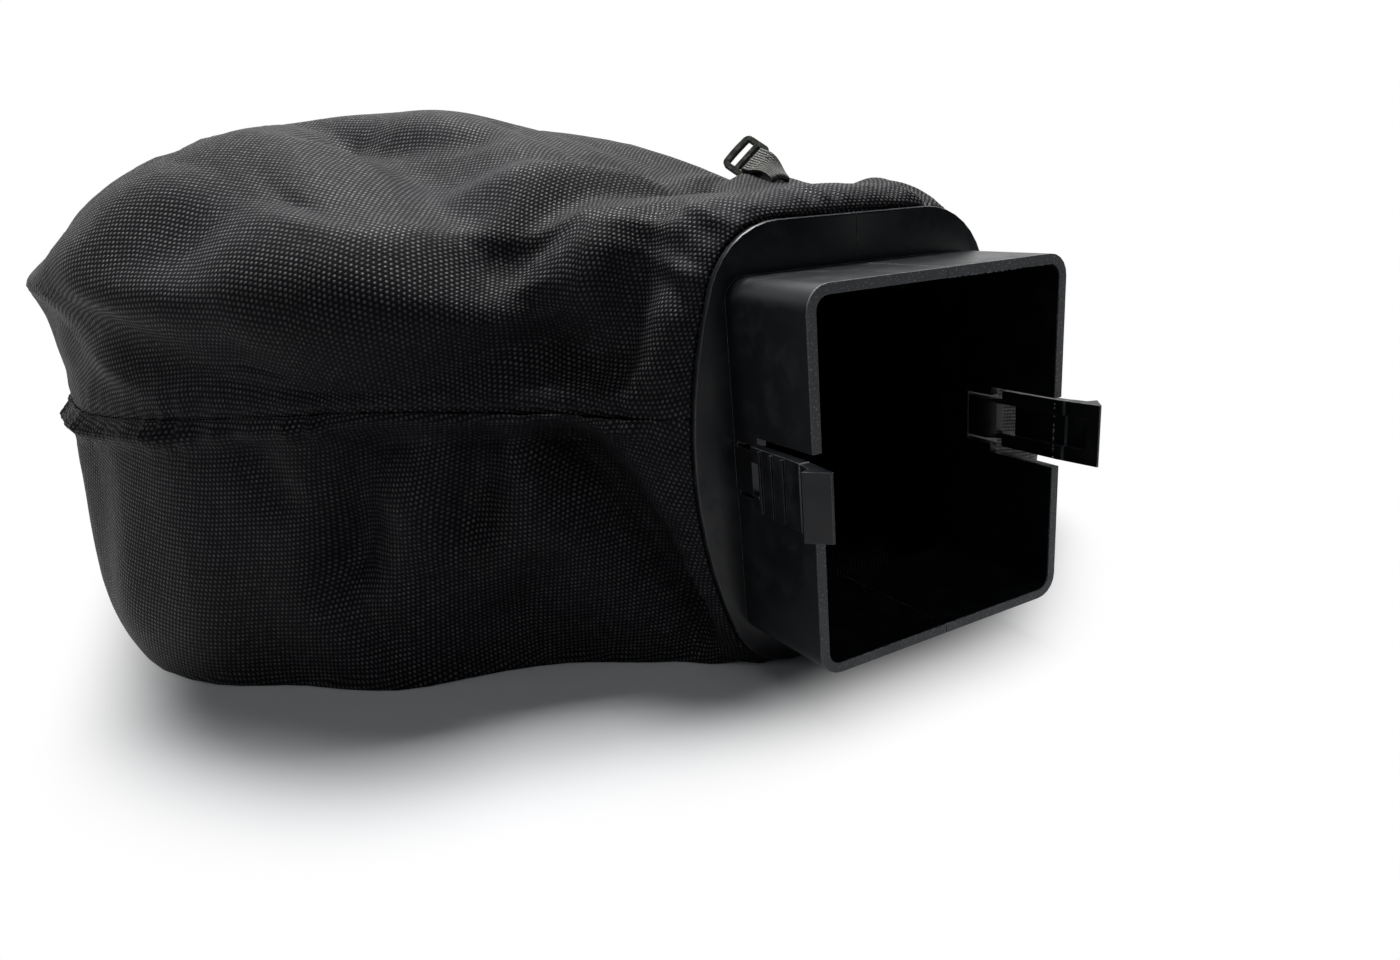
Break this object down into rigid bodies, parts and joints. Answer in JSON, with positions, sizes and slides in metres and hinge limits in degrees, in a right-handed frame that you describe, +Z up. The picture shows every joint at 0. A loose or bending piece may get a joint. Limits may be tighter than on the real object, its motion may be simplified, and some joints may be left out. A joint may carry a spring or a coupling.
{
  "type": "leaf vacuum collection bag",
  "caption": "Soft collection bag for a garden leaf vacuum: a moulded rectangular duct collar with a flange and spring latches holds the neck of a puffed cloth bag.",
  "frame": {"origin": "on the ground, under the middle of the whole object", "axes": "+Y from the collar's mouth towards the bag's closed end, +Z up, +X to the right of someone who looks along +Y"},
  "size_m": [0.4892, 0.6134, 0.2044],
  "materials": {
    "collar_moulding": "satin black moulding with a faint grain",
    "nonwoven_cloth": "black spunbond cloth embossed with small oval dots",
    "zinc_screw": "zinc plated",
    "ribbed_webbing": "ribbed black webbing",
    "lock_moulding": "dark grey-green moulding"
  },
  "bodies": {
    "root": {"collar_half_left": "collar_moulding", "collar_half_right": "collar_moulding", "retaining_frame": "collar_moulding", "frame_screw_1": "zinc_screw", "frame_screw_2": "zinc_screw", "frame_screw_3": "zinc_screw", "frame_screw_4": "zinc_screw", "frame_screw_5": "zinc_screw", "frame_screw_6": "zinc_screw", "frame_screw_7": "zinc_screw", "frame_screw_8": "zinc_screw", "bag_upper_panel": "nonwoven_cloth", "bag_lower_panel": "nonwoven_cloth", "webbing_tab": "ribbed_webbing", "ladder_lock": "lock_moulding"}
  },
  "joints": []
}
